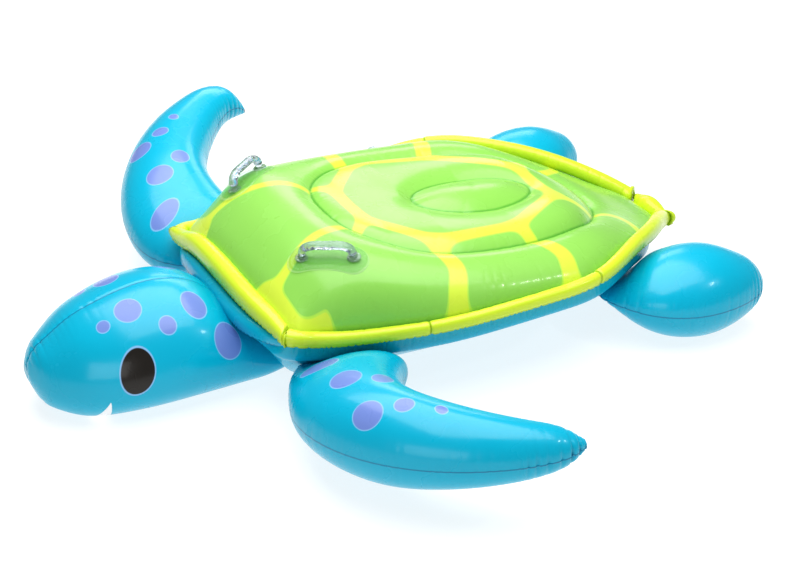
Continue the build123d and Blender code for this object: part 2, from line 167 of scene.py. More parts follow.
# Printed lilac spots on the left side: centre, axis, half size along it and across it
HEAD_SPOTS = [
    ((0.086, -0.718, 0.232), (0, 1, 0), 0.0145, 0.0155),
    ((0.077, -0.655, 0.254), (0, 1, 0), 0.030, 0.033),
    ((0.140, -0.584, 0.228), (0, 1, 0), 0.019, 0.022),
    ((0.101, -0.504, 0.244), (0, 1, 0), 0.029, 0.040),
    ((0.165, -0.448, 0.163), (0, 1, 0), 0.036, 0.044),
]
FLIPPER_SPOTS = [
    ((0.415, -0.340, 0.201), (0.52, 0.73, 0.45), 0.048, 0.028),
    ((0.537, -0.332, 0.238), (1, 0, 0), 0.031, 0.035),
    ((0.674, -0.349, 0.232), (1, 0, 0), 0.032, 0.034),
    ((0.584, -0.266, 0.245), (1, 0, 0), 0.023, 0.023),
    ((0.705, -0.279, 0.254), (1, 0, 0), 0.019, 0.021),
    ((0.755, -0.219, 0.253), (1, 0, 0), 0.014, 0.012),
]
FAR_OFF = 0.1            # mark value where nothing is printed or welded
FACE_INSIDE = 0.04       # eye and mouth are printed only further out than this
EYE_Y, EYE_Z, EYE_HALF_LENGTH, EYE_HALF_HEIGHT, EYE_LEAN = -0.675, 0.148, 0.037, 0.050, 0.19
# White corner of the mouth, seen from the side: front edge up to the tip and back down
MOUTH_FRONT = [(-0.772, 0.0), (-0.768, 0.021), (-0.763, 0.032), (-0.754, 0.053), (-0.747, 0.067),
               (-0.740, 0.083)]
MOUTH_REAR = [(-0.731, 0.0), (-0.736, 0.033), (-0.738, 0.063), (-0.740, 0.083)]

# Left handle: centre and heading of its patch, and where the grip's ends are held
HANDLE_CENTRE, HANDLE_HEADING = (0.232, -0.224), 54.0
PATCH_HALF_LENGTH, PATCH_HALF_WIDTH = 0.095, 0.041
GRIP_ENDS = np.array([(0.198574, -0.274243, 0.357933), (0.268058, -0.177059, 0.367748)])
GRIP_UP = np.array((0.139788, -0.197928, 0.970198))
GRIP_RISE = 0.028


# ---- curves
def spline(xs, ys, at):
    """Natural cubic spline through (xs, ys), read at the values at."""
    xs, ys, at = np.asarray(xs, float), np.asarray(ys, float), np.asarray(at, float)
    n = len(xs)
    h = np.diff(xs)
    matrix = np.eye(n)
    right = np.zeros((n,) + ys.shape[1:])
    for i in range(1, n - 1):
        matrix[i, i - 1:i + 2] = h[i - 1], 2 * (h[i - 1] + h[i]), h[i]
        right[i] = 6 * ((ys[i + 1] - ys[i]) / h[i] - (ys[i] - ys[i - 1]) / h[i - 1])
    bend = np.linalg.solve(matrix, right.reshape(n, -1)).reshape(right.shape)
    i = np.clip(np.searchsorted(xs, at) - 1, 0, n - 2)
    shape = at.shape + (1,) * (ys.ndim - 1)
    h, d, e = h[i].reshape(shape), (at - xs[i]).reshape(shape), (xs[i + 1] - at).reshape(shape)
    ends = (bend[i] * e ** 3 + bend[i + 1] * d ** 3) / (6 * h)
    return ends + (ys[i] / h - bend[i] * h / 6) * e + (ys[i + 1] / h - bend[i + 1] * h / 6) * d


def run_length(points):
    """Distance of each point of a polyline from its first, along it."""
    return np.r_[0, np.cumsum(np.linalg.norm(np.diff(points, axis=0), axis=1))]


def unit_rows(vectors):
    return vectors / np.linalg.norm(vectors, axis=1)[:, None]


def curve_through(points, count):
    """count points along a smooth curve through points, spaced by length."""
    points = np.asarray(points, float)
    steps = np.linalg.norm(np.diff(points, axis=0), axis=1)
    knots = np.r_[0, np.cumsum(steps)]
    fine = spline(knots, points, np.linspace(0, knots[-1], 1200))
    length = run_length(fine)
    at = np.linspace(0, length[-1], count)
    return np.stack([np.interp(at, length, fine[:, k]) for k in range(fine.shape[1])], axis=1)


def smooth_step(value, low, high):
    t = np.clip((value - low) / (high - low), 0, 1)
    return t * t * (3 - 2 * t)


def gathers(along, pitch, seed=0.0):
    """Small sharp folds across a seam: 0 on the puffed film, up to 1 in a fold."""
    drift = 0.35 * pitch * np.sin(along / pitch * 0.71 + seed)
    drift = drift + 0.5 * pitch * np.sin(along / pitch * 0.23 + 2.1 * seed)
    wave = np.abs(np.sin(np.pi * (along + drift) / pitch))
    depth = 0.65 + 0.35 * np.sin(along / pitch * 1.37 + 3.7 * seed)
    return depth * np.exp(-(wave / 0.38) ** 2)


# ---- meshes
def skin(name, grid, inside, marks=None, wrap=False, shut=False):
    """Smooth quad mesh over grid[u][v], its normals turned away from the point inside."""
    grid = np.asarray(grid, float)
    nu, nv = grid.shape[:2]
    index = np.arange(nu * nv).reshape(nu, nv)
    if wrap:
        index = np.vstack([index, index[:1]])
    if shut:
        index = np.hstack([index, index[:, :1]])
    quads = np.stack([index[:-1, :-1], index[1:, :-1], index[1:, 1:], index[:-1, 1:]], axis=-1).reshape(-1, 4)
    points = grid.reshape(-1, 3)
    a, b, c, d = (points[quads[:, k]] for k in range(4))
    normal = np.cross(c - a, d - b)
    if (normal * ((a + c) / 2 - np.asarray(inside))).sum() < 0:
        quads = quads[:, ::-1]
    mesh = bpy.data.meshes.new(name)
    mesh.from_pydata(points.tolist(), [], quads.tolist())
    for mark, values in (marks or {}).items():
        attribute = mesh.attributes.new(mark, "FLOAT", "POINT")
        attribute.data.foreach_set("value", np.asarray(values, np.float32).ravel())
    mesh.polygons.foreach_set("use_smooth", [True] * len(mesh.polygons))
    mesh.update()
    obj = bpy.data.objects.new(name, mesh)
    bpy.context.scene.collection.objects.link(obj)
    return obj


def lofted(sections, ys):
    """Grid of points from cross-sections (x, z), one at each y."""
    rows = np.broadcast_to(ys[:, None], sections.shape[:2])
    return np.stack([sections[:, :, 0], rows, sections[:, :, 1]], axis=-1)


def drop_faces(obj, unwanted):
    """Remove the faces whose centre unwanted(centre) picks out."""
    mesh = obj.data
    centres = np.zeros(len(mesh.polygons) * 3)
    mesh.polygons.foreach_get("center", centres)
    picked = unwanted(centres.reshape(-1, 3))
    work = bmesh.new()
    work.from_mesh(mesh)
    work.faces.ensure_lookup_table()
    bmesh.ops.delete(work, geom=[work.faces[i] for i in np.nonzero(picked)[0]], context="FACES")
    work.to_mesh(mesh)
    work.free()


def grid_normals(grid, inside):
    """Unit normals of a grid of points, turned away from the point inside."""
    du = np.gradient(grid, axis=0)
    dv = np.gradient(grid, axis=1)
    normal = np.cross(du, dv)
    length = np.linalg.norm(normal, axis=2, keepdims=True)
    normal = normal / np.maximum(length, 1e-12)
    if (normal * (grid - np.asarray(inside))).sum() < 0:
        normal = -normal
    return normal


def place(obj, body, material, slot, *nodes):
    """Give a finished piece its finish, hide the CAD nodes it stands in for, and let it ride on its body if it
    has one.
    """
    obj.data.materials.append(material)
    if nodes:
        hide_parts(*nodes)
    if body:
        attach(obj, body)


# ---- materials
def srgb(red, green, blue):
    values = []
    for value in (red, green, blue):
        value = value / 255
        values.append(value / 12.92 if value <= 0.04045 else ((value + 0.055) / 1.055) ** 2.4)
    return tuple(values) + (1.0,)


TURQUOISE = srgb(0, 178, 208)
DEEP_TURQUOISE = srgb(0, 170, 202)
LILAC = srgb(116, 138, 204)
LILAC_EDGE = srgb(136, 184, 226)
GREEN = srgb(146, 206, 96)
DARK_GREEN = srgb(136, 198, 84)
LIME = srgb(206, 228, 76)
CHARCOAL = srgb(34, 30, 26)
WHITE = srgb(238, 240, 242)


class Film:
    """A glossy vinyl film: flat inks printed on it, fine waviness, and painted shade towards its welds."""

    def __init__(self, name, colour, tint, roughness=0.26):
        self.material = bpy.data.materials.new(name)
        self.material.use_nodes = True
        self.nodes = self.material.node_tree.nodes
        self.links = self.material.node_tree.links
        self.shader = self.nodes["Principled BSDF"]
        self.shader.inputs["Specular IOR Level"].default_value = 0.34
        self.shader.inputs["IOR"].default_value = 1.5
        self.shader.inputs["Coat Weight"].default_value = 0.2
        self.shader.inputs["Coat Roughness"].default_value = 0.09
        self.place = self.nodes.new("ShaderNodeTexCoord").outputs["Object"]
        cloud = self.noise(2.2, 2.0)
        self.colour = self.mix(cloud, colour, tint)
        sheen = self.noise(9.0, 3.0)
        self.link(self.ramp(sheen, 0.3, 0.7, roughness - 0.04, roughness + 0.06), "Roughness")
        self.surface()

    def noise(self, scale, detail):
        node = self.nodes.new("ShaderNodeTexNoise")
        node.inputs["Scale"].default_value = scale
        node.inputs["Detail"].default_value = detail
        self.links.new(self.place, node.inputs["Vector"])
        return node.outputs["Fac"]

    def ramp(self, value, low, high, to_low=0.0, to_high=1.0):
        node = self.nodes.new("ShaderNodeMapRange")
        node.interpolation_type = "SMOOTHSTEP"
        for socket, number in (("From Min", low), ("From Max", high), ("To Min", to_low), ("To Max", to_high)):
            node.inputs[socket].default_value = number
        self.links.new(value, node.inputs["Value"])
        return node.outputs["Result"]

    def mark(self, name):
        node = self.nodes.new("ShaderNodeAttribute")
        node.attribute_name = name
        return node.outputs["Fac"]

    def mix(self, factor, first, second):
        node = self.nodes.new("ShaderNodeMix")
        node.data_type = "RGBA"
        self.links.new(factor, node.inputs["Factor"])
        for socket, value in ((6, first), (7, second)):
            if hasattr(value, "is_linked"):
                self.links.new(value, node.inputs[socket])
            else:
                node.inputs[socket].default_value = value
        return node.outputs[2]

    def link(self, value, socket):
        self.links.new(value, self.shader.inputs[socket])

    def surface(self):
        """Waviness of the blown-up film and its fine calendered grain."""
        wave = self.nodes.new("ShaderNodeBump")
        wave.inputs["Strength"].default_value = 0.06
        wave.inputs["Distance"].default_value = 0.01
        self.links.new(self.noise(11.0, 2.0), wave.inputs["Height"])
        grain = self.nodes.new("ShaderNodeBump")
        grain.inputs["Strength"].default_value = 0.05
        grain.inputs["Distance"].default_value = 0.0004
        self.links.new(self.noise(1400.0, 2.0), grain.inputs["Height"])
        self.links.new(wave.outputs["Normal"], grain.inputs["Normal"])
        self.links.new(grain.outputs["Normal"], self.shader.inputs["Normal"])

    def ink(self, mark, colour, outline=None, soft=0.0009, width=0.0022):
        """Print colour where the mark is below zero, with a thin outline of another ink."""
        distance = self.mark(mark)
        if outline is not None:
            self.colour = self.mix(self.ramp(distance, width + soft, width - soft), self.colour, outline)
        self.colour = self.mix(self.ramp(distance, soft, -soft), self.colour, colour)

    def shade(self, mark, colour, near, far, strength=1.0):
        """Tone the film towards colour as the mark falls from far to near: painted shade along welds and
        creases, or a lighter welded border.
        """
        self.colour = self.mix(self.ramp(self.mark(mark), far, near, 0.0, strength), self.colour, colour)

    def done(self):
        self.link(self.colour, "Base Color")
        return self.material


def blue_film(name, spots=False, face=False):
    film = Film(name, TURQUOISE, DEEP_TURQUOISE)
    if spots:
        film.ink("spot", LILAC, LILAC_EDGE)
    if face:
        film.ink("eye", CHARCOAL, LILAC_EDGE, width=0.003)
        film.ink("mouth", WHITE)
    # Painted shade: the blue darkens towards deep blue within a few millimetres of every weld and seam groove.
    film.shade("seam", srgb(0, 96, 140), 0.0006, 0.0026, 0.75)
    return film.done()


def green_film(name):
    film = Film(name, GREEN, DARK_GREEN)
    film.ink("line", LIME, srgb(176, 222, 84), soft=0.0012, width=0.003)
    # Painted shade: the green darkens down into the crease, the seat weld and the foot of the rim.
    film.shade("seam", srgb(60, 150, 40), 0.001, 0.006, 0.6)
    return film.done()


def lime_film(name):
    film = Film(name, srgb(210, 232, 60), srgb(202, 226, 54))
    # Painted shade: the lime darkens at the strip's low weld fin, where it tucks against the hull, and at its
    # cut ends.
    film.shade("seam", srgb(150, 180, 30), 0.0008, 0.004, 0.6)
    return film.done()


# ---- shell shape
def hull_values(y):
    return spline(HULL[:, 0], HULL[:, 1:], y)


def crown_height(x, y):
    """Height of the blown-up top panels, before the creases pull them in."""
    values = hull_values(np.clip(y, HULL_FRONT, HULL_REAR))
    half, weld, crown = values[..., 0], values[..., 1], values[..., 2]
    share = np.clip(np.abs(x) / half, 0, 1)
    return weld + (crown - weld) * (1 - share ** 5) ** 0.46


def rim_outline():
    """Plan outline of the hull's weld, from the front centre round by the left side."""
    across, along, tail = 150, 330, 28      # points over the front, one side and the tail
    front, back = HULL[0, 1], HULL[-1, 1]
    xs = np.linspace(0, front, across // 2, endpoint=False)
    half_front = np.stack([xs, np.full(across // 2, HULL_FRONT)], 1)
    ys = np.linspace(HULL_FRONT, HULL_REAR, 1500)
    side = np.stack([hull_values(ys)[:, 0], ys], 1)
    length = run_length(side)
    at = np.linspace(0, length[-1], along)
    side = np.stack([np.interp(at, length, side[:, 0]), np.interp(at, length, side[:, 1])], 1)
    xs = np.linspace(back, 0, tail // 2 + 1)[1:]
    half_tail = np.stack([xs, np.full(tail // 2, HULL_REAR)], 1)
    half = np.vstack([half_front, side, half_tail])
    other = half[1:-1][::-1] * (-1, 1)
    return np.vstack([half, other])


def radius_on(outline, angles):
    """Distance of a closed outline from the shell's centre, at the given angles."""
    rel = outline - SHELL_CENTRE
    ang = np.arctan2(rel[:, 1], rel[:, 0])
    order = np.argsort(ang)
    ang, rad = ang[order], np.linalg.norm(rel, axis=1)[order]
    ang = np.r_[ang - 2 * np.pi, ang, ang + 2 * np.pi]
    return np.interp(angles, ang, np.tile(rad, 3))


def closed_half(points, count=900):
    """A closed outline from its left half, both ends on the centre line."""
    points = np.asarray(points, float)
    other = points[1:-1][::-1] * (-1, 1)
    loop = np.vstack([other[-2:], points, other, points[:3]])
    steps = np.linalg.norm(np.diff(loop, axis=0), axis=1) ** 0.5
    knots = np.r_[0, np.cumsum(steps)]
    start, stop = knots[2], knots[2 + len(points) + len(other)]
    return spline(knots, loop, np.linspace(start, stop, count, endpoint=False))


RIM = rim_outline()
ANGLES = np.arctan2(RIM[:, 1] - SHELL_CENTRE[1], RIM[:, 0])
RIM_R = np.linalg.norm(RIM - SHELL_CENTRE, axis=1)
CREASE_R = radius_on(closed_half(CREASE), ANGLES)
TURN = np.linspace(0, 2 * np.pi, 720, endpoint=False)
SEAT_OUTLINE = np.stack([SEAT_HALF_WIDTH * np.sin(TURN), SEAT_Y - SEAT_HALF_LENGTH * np.cos(TURN)], 1)
SEAT_R = radius_on(SEAT_OUTLINE, ANGLES)
RIM_LENGTH = run_length(RIM)


def slumped(grid):
    """The welded front edge sags: its right corner inwards and down, its left one back."""
    moved = grid.copy()
    for corner, shift in SLUMP:
        away = np.hypot(grid[..., 0] - corner[0], grid[..., 1] - corner[1])
        moved += np.exp(-(away / SLUMP_REACH) ** 2)[..., None] * np.array(shift)
    return moved


def ring_points(radius):
    """Plan points at a table of radii, one row per angle."""
    x = radius * np.cos(ANGLES)[:, None]
    y = SHELL_CENTRE[1] + radius * np.sin(ANGLES)[:, None]
    return x, y


def crease_relief(distance):
    return -CREASE_DEPTH * np.exp(-distance / CREASE_WIDTH)


def seat_relief(distance):
    """How far the pad falls towards the seat weld."""
    return -SEAT_DEPTH * np.exp(-(distance / 0.040) ** 1.2)


# ---- shell prints
# Bands of lime ink on the left half: points along the band and its half width.
RING_BANDS = [
    ([(0.112, -0.112), (0.136, -0.165), (0.150, -0.215), (0.172, -0.270), (0.196, -0.325),
      (0.212, -0.385)], 0.0115),
    ([(0.262, 0.050), (0.292, 0.046), (0.350, 0.047), (0.405, 0.020), (0.44, 0.010)], 0.020),
    ([(0.272, 0.300), (0.320, 0.318), (0.365, 0.330), (0.412, 0.322), (0.45, 0.32)], 0.020),
    ([(0.135, 0.570), (0.142, 0.610), (0.170, 0.648), (0.225, 0.660)], 0.0115),
]
PAD_BANDS = [
    ([(0, -0.060), (0.086, -0.057), (0.234, 0.060)], 0.016),
    ([(0.234, 0.060), (0.216, 0.290), (0.093, 0.477)], 0.017),
    ([(0.093, 0.477), (0, 0.480)], 0.016),
    ([(0.090, -0.058), (0.128, -0.100)], 0.013),
    ([(0.228, 0.062), (0.275, 0.052)], 0.017),
    ([(0.216, 0.290), (0.272, 0.300)], 0.016),
    ([(0.095, 0.478), (0.165, 0.565)], 0.011),
]


def to_segments(x, y, points):
    """Distance from plan points to a polyline."""
    best = np.full(x.shape, 9.0)
    for (ax, ay), (bx, by) in zip(points, points[1:]):
        dx, dy = bx - ax, by - ay
        t = np.clip(((x - ax) * dx + (y - ay) * dy) / (dx * dx + dy * dy), 0, 1)
        best = np.minimum(best, np.hypot(x - ax - t * dx, y - ay - t * dy))
    return best


def printed(x, y, bands, *others, fillet=0.010):
    """Signed distance to the printed bands and the other inked areas, their junctions filleted."""
    x = np.abs(x)
    total = np.zeros(x.shape)
    for points, half in bands:
        if len(points) > 3:
            points = curve_through(points, 24).tolist()
        total += np.exp(-(to_segments(x, y, points) - half) / fillet)
    for distance in others:
        total += np.exp(-distance / fillet)
    return -fillet * np.log(np.maximum(total, 1e-30))


# ---- shell parts
def outer_ring():
    """Puffed ring between the rim and the crease."""
    steps = np.linspace(0, 1, 64)
    share = np.where(steps < 0.5, 0.5 * (2 * steps) ** 1.9, steps)
    radius = RIM_R[:, None] + (CREASE_R - RIM_R)[:, None] * share
    x, y = ring_points(radius)
    to_crease = np.maximum(radius - CREASE_R[:, None], 0)
    to_rim = np.maximum(RIM_R[:, None] - radius, 0)
    z = crown_height(x, y) + crease_relief(to_crease)
    weld = hull_values(np.clip(y, HULL_FRONT, HULL_REAR))[..., 1]
    z = weld + (z - weld) * smooth_step(to_rim, -0.003, 0.005)
    fold = gathers(RIM_LENGTH, RIM_FOLD_PITCH, 0.4)[:, None]
    z = z - 0.0022 * fold * np.exp(-to_rim / 0.022)
    fold = gathers(RIM_LENGTH * (CREASE_R / RIM_R), CREASE_FOLD_PITCH, 1.7)[:, None]
    z = z - 0.0012 * fold * np.exp(-to_crease / 0.025)
    corner = to_segments(np.abs(x), y, [(0.190, -0.386), (0.310, -0.386)]) - 0.036
    edge = to_segments(np.abs(x), y, [(0.314, -0.386), (0.334, -0.290)]) - 0.012
    tail = np.hypot(np.abs(x), y - 0.850) - 0.050
    line = printed(x, y, RING_BANDS, corner, edge, tail, to_rim + 0.004)
    grid = np.stack([x, y, z], axis=-1)
    seam = np.minimum(to_crease, to_rim + 0.001)
    obj = skin("outer_ring_skin", slumped(grid), (0, 0.2, 0), {"line": line, "seam": seam}, wrap=True)
    place(obj, "hull", green_film("green_ring_film"), "green_vinyl", "outer_ring_panel")


def riding_pad():
    """Pad between the crease and the seat, puffed like a cushion."""
    steps = np.linspace(0, 1, 60)
    share = (1 - np.cos(np.pi * steps)) / 2 * 0.5 + steps * 0.5
    radius = CREASE_R[:, None] + (SEAT_R - CREASE_R)[:, None] * share
    x, y = ring_points(radius)
    to_crease = np.maximum(CREASE_R[:, None] - radius, 0)
    to_seat = np.maximum(radius - SEAT_R[:, None], 0)
    z = crown_height(x, y) + pad_lift(y) * (1 - np.exp(-to_crease / 0.05))
    z = z + crease_relief(to_crease) + seat_relief(to_seat)
    fold = gathers(RIM_LENGTH * (CREASE_R / RIM_R), CREASE_FOLD_PITCH, 1.7)[:, None]
    z = z - 0.0008 * fold * np.exp(-to_crease / 0.03)
    line = printed(x, y, PAD_BANDS)
    grid = np.stack([x, y, z], axis=-1)
    seam = np.minimum(to_crease, to_seat)
    obj = skin("riding_pad_skin", grid, (0, 0.25, 0), {"line": line, "seam": seam}, wrap=True)
    place(obj, "hull", green_film("green_pad_film"), "green_vinyl", "pad_panel")


def pad_lift(y):
    """The pad is more level than the ring: lower in front and higher behind."""
    return np.interp(y, *np.array(PAD_LEVEL).T)


def seat_middle():
    """Oval seat panel with its raised, lens-shaped middle."""
    share = np.linspace(1, 0, 40)[:-1]
    share = np.r_[share, 0.002]
    turn = TURN[::4]
    x = share[None, :] * SEAT_HALF_WIDTH * np.sin(turn)[:, None]
    y = SEAT_Y - share[None, :] * SEAT_HALF_LENGTH * np.cos(turn)[:, None]
    rise = 0.024 * (1 - share ** 2.4)[None, :] + 0.003 * (1 - share) ** 2
    z = crown_height(x, y) + pad_lift(y) - SEAT_DEPTH + rise
    fold = gathers(np.arange(len(turn)) * 0.0045, 0.036, 0.9)[:, None]
    z = z - 0.0012 * fold * np.exp(-(1 - share) / 0.2)[None, :]
    grid = np.stack([x, y, z], axis=-1)
    seam = np.broadcast_to((1 - share) * SEAT_HALF_WIDTH, x.shape)
    far = np.full(x.shape, FAR_OFF)
    obj = skin("seat_skin", grid, (0, 0.25, 0), {"line": far, "seam": seam}, wrap=True)
    place(obj, "hull", green_film("green_seat_film"), "green_vinyl", "seat_panel")


# ---- rim
def rim_corner_path(sign):
    """Outer foot of the side strips: the weld line, offset outwards."""
    ys = np.linspace(HULL_FRONT, HULL_REAR, 1200)
    values = hull_values(ys)
    plan = np.stack([values[:, 0], ys], 1)
    slope = unit_rows(np.gradient(plan, axis=0))
    out = np.stack([slope[:, 1], -slope[:, 0]], 1)
    plan = plan + out * RIM_OUT
    stand = np.interp(ys, RIM_STAND[:, 0], RIM_STAND[:, 1])
    return np.stack([plan[:, 0] * sign, plan[:, 1], values[:, 1] + stand], 1)


def resample(path, start, stop):
    """Points evenly spaced along the stretch of path between two values of y."""
    part = path[(path[:, 1] >= start) & (path[:, 1] <= stop)]
    length = run_length(part)
    at = np.linspace(0, length[-1], int(length[-1] / PATH_PITCH))
    return np.stack([np.interp(at, length, part[:, k]) for k in range(3)], axis=1)


def rim_section(around):
    """Unit outline of a puffed strip, a little squared all round; rim_tube adds the weld fin low on the
    outside.
    """
    across = np.sign(np.cos(around)) * np.abs(np.cos(around)) ** 0.85
    up = np.sign(np.sin(around)) * np.abs(np.sin(around)) ** 0.9
    return across, up


def angle_from(around, degrees):
    return np.abs(np.angle(np.exp(1j * (around - math.radians(degrees)))))


def rim_tube(name, path, outward, node, seed, sizes, mitre=(0.0, 0.0),
             film=None, slot="lime_vinyl"):
    """Puffed strip standing on path, gathered at its welds; its ends cut to a mitre."""
    count = len(path)
    length = run_length(path)
    around = np.linspace(0, 2 * np.pi, 64, endpoint=False)
    size = np.interp(length / length[-1], np.linspace(0, 1, len(sizes)), sizes)
    size = np.convolve(np.pad(size, 12, mode="edge"), np.ones(25) / 25, mode="valid")[:, None]
    to_end = np.minimum(length, length[-1] - length)
    weld_angle = angle_from(around, -52)
    low = np.exp(-(weld_angle / 0.50) ** 2)
    high = np.exp(-(angle_from(around, 140) / 0.6) ** 2)
    fin = np.exp(-(weld_angle / 0.12) ** 2)
    fold_low = gathers(length, PUCKER_PITCH, seed)[:, None]
    fold_high = gathers(length, PUCKER_PITCH * 2.1, seed + 2.0)[:, None]
    pinch = 1 - 0.10 * np.exp(-(to_end / 0.004) ** 1.5)
    radial = 1 - 0.08 * fold_low * low - 0.07 * fold_high * high + 0.16 * fin * (1 - 0.8 * fold_low)
    radial = radial * pinch[:, None]
    across, up = rim_section(around)
    offset = RIM_HALF_WIDTH * size * across * radial
    rise = RIM_HALF_HEIGHT * size * (up * radial + 1)
    along = unit_rows(np.gradient(path, axis=0))
    near_start = np.exp(-(length / 0.030) ** 2)[:, None]
    near_stop = np.exp(-((length[-1] - length) / 0.030) ** 2)[:, None]
    slide = offset * (mitre[1] * near_stop - mitre[0] * near_start)
    grid = path[:, None, :] + outward[:, None, :] * offset[:, :, None] + along[:, None, :] * slide[:, :, None]
    grid = grid + np.array((0, 0, 1)) * rise[:, :, None]
    seam = np.minimum(np.broadcast_to(weld_angle * RIM_HALF_HEIGHT, (count, len(around))), to_end[:, None])
    grid = slumped(grid)
    middle = path[count // 2] + np.array((0, 0, RIM_HALF_HEIGHT))
    marks = {"seam": seam, "spot": np.full(seam.shape, FAR_OFF)}
    obj = skin(name, grid, middle, marks, shut=True)
    cap_ends(obj)
    place(obj, "hull", film or LIME_FILM, slot, node)


def cap_ends(obj):
    """Close both open ends of a tube."""
    work = bmesh.new()
    work.from_mesh(obj.data)
    bmesh.ops.holes_fill(work, edges=[edge for edge in work.edges if edge.is_boundary], sides=0)
    bmesh.ops.recalc_face_normals(work, faces=work.faces)
    work.to_mesh(obj.data)
    work.free()
    obj.data.polygons.foreach_set("use_smooth", [True] * len(obj.data.polygons))


def level_normals(path, sign):
    """Outward directions, square to a path and level."""
    slope = np.gradient(path, axis=0)
    slope[:, 2] = 0
    slope = unit_rows(slope)
    return np.stack([sign * slope[:, 1], -sign * slope[:, 0], np.zeros(len(path))], 1)


def end_path(half, y, weld, arch):
    """Foot of the strip across the front or the tail."""
    xs = np.linspace(-half, half, int(2 * half / PATH_PITCH))
    return np.stack([xs, np.full(len(xs), y), weld + arch * (1 - (xs / half) ** 2)], 1)


RIM_SIZES = {"shoulder": (1.25, 1.08, 1.0), "waist": (1.0, 1.0, 1.05), "haunch": (1.1, 1.4, 1.5)}


def rim_strips():
    for side, sign in (("left", 1), ("right", -1)):
        whole = rim_corner_path(sign)
        for name, start, stop, seed in zip(RIM_SIZES, RIM_SEAMS, RIM_SEAMS[1:], (0.3, 1.1, 2.2)):
            path = resample(whole, start, stop)
            if name == "shoulder":
                first = np.array((path[0, 0], FRONT_RIM_Y, path[0, 2]))
                path = np.vstack([np.linspace(first, path[0], 7)[:-1], path])
            if name == "haunch":
                last = np.array((path[-1, 0], TAIL_RIM_Y, path[-1, 2]))
                path = np.vstack([path, np.linspace(path[-1], last, 6)[1:]])
            mitre = (1.0 if name == "shoulder" else 0.0, 1.0 if name == "haunch" else 0.0)
            rim_tube("rim_%s_%s_skin" % (name, side), path, level_normals(path, sign),
                     "rim_%s_%s" % (name, side), seed + sign, RIM_SIZES[name], mitre)
    path = end_path(HULL[0, 1] + RIM_OUT, FRONT_RIM_Y, FRONT_RIM_WELD, 0.006)
    rim_tube("rim_front_skin", path, np.tile((0.0, -1.0, 0.0), (len(path), 1)), "rim_front", 0.7,
             (1.25, 1.6, 1.75, 1.8, 1.75, 1.6, 1.25), (1.0, 1.0))
    path = end_path(HULL[0, 1] + 0.008, BOW_Y, BOW_FOOT, -BOW_SAG)
    path[:, 1] += BOW_SWEEP * (path[:, 0] / path[-1, 0]) ** 6
    rim_tube("bow_skin", path, np.tile((0.0, -1.0, 0.0), (len(path), 1)), "flank_band", 2.9,
             (0.6, 1.35, 1.75, 1.9, 1.75, 1.35, 0.6), film=blue_film("bow_film"), slot="blue_vinyl")
    path = end_path(HULL[-1, 1] + RIM_OUT * 0.9, TAIL_RIM_Y, TAIL_RIM_WELD, 0.004)
    rim_tube("rim_tail_skin", path, np.tile((0.0, 1.0, 0.0), (len(path), 1)), "rim_tail", 1.9,
             (1.15, 1.9, 1.15), (1.0, 1.0))


# ---- flank
def lower_section(values):
    """Points of the hull's lower section, weld to weld under the foot."""
    half, weld, _, foot, foot_z = values
    reach, fall = half - foot, weld - foot_z
    side = curve_through([
        (half, weld), (half - 0.13 * reach, weld - 0.22 * fall), (half - 0.38 * reach, weld - 0.52 * fall),
        (half - 0.69 * reach, weld - 0.81 * fall), (foot, foot_z)], 64)
    across = np.linspace(foot, -foot, 42)[1:-1]
    middle = np.stack([across, np.full(len(across), foot_z)], 1)
    return np.vstack([side, middle, side[::-1] * (-1, 1)])


def flank():
    """Blue lower hull: bow, flanks and tail ramp, and the flat bottom as its own panel."""
    ys = np.r_[np.linspace(HULL_FRONT, -0.2, 110)[:-1], np.linspace(-0.2, 0.755, 320)[:-1],
               np.linspace(0.755, HULL_REAR, 50)]
    values = hull_values(ys)
    values[:, 4] = np.maximum(values[:, 4], 0)
    values[(ys > -0.2) & (ys < 0.70), 4] = 0
    sections = np.stack([lower_section(v) for v in values])
    grid = lofted(sections, ys)
    to_left = np.linalg.norm(grid - grid[:, :1], axis=2)
    to_right = np.linalg.norm(grid - grid[:, -1:], axis=2)
    steps = np.linalg.norm(np.diff(grid, axis=0), axis=2)
    to_front = np.vstack([np.zeros((1, grid.shape[1])), np.cumsum(steps, axis=0)])
    to_side = np.minimum(to_left, to_right)
    to_weld = -0.006 * np.log(np.exp(-to_side / 0.006) + np.exp(-to_front / 0.006))
    to_weld = np.maximum(to_weld, 0)
    length = np.r_[0, np.cumsum(np.hypot(np.diff(ys), np.diff(values[:, 0])))]
    fold = gathers(length, PUCKER_PITCH, 1.3)[:, None]
    normal = grid_normals(grid, (0, 0.2, 0.2))
    fade = 1 - smooth_step(ys, 0.62, 0.82)[:, None]
    puff = FLANK_PUFF * fade * np.exp(-((to_weld - FLANK_PUFF_AT) / FLANK_PUFF_REACH) ** 2)
    grid = grid + normal * (puff - 0.0030 * fold * np.exp(-to_weld / 0.016))[:, :, None]
    grid[:, :, 2] = np.maximum(grid[:, :, 2], 0)
    walls = [np.stack([row[:, 0], row[:, 1], np.full(len(row), weld)], -1)[None]
             for row, weld in ((grid[0], values[0, 1]), (grid[-1], values[-1, 1]))]
    grid = slumped(np.concatenate([walls[0], grid, walls[1]]))
    to_weld = np.vstack([to_weld[:1], to_weld, to_weld[-1:]])
    marks = {"seam": to_weld, "spot": np.full(grid.shape[:2], FAR_OFF)}
    band = skin("flank_skin", grid, (0, 0.2, 0.2), marks)
    drop_faces(band, lambda c: c[:, 2] < BOTTOM_TOP)
    place(band, "hull", blue_film("flank_film"), "blue_vinyl", "flank_band")
    floor = skin("bottom_skin", grid, (0, 0.2, 0.2), marks)
    drop_faces(floor, lambda c: c[:, 2] >= BOTTOM_TOP)
    place(floor, "hull", blue_film("bottom_film"), "blue_vinyl", "bottom_panel")


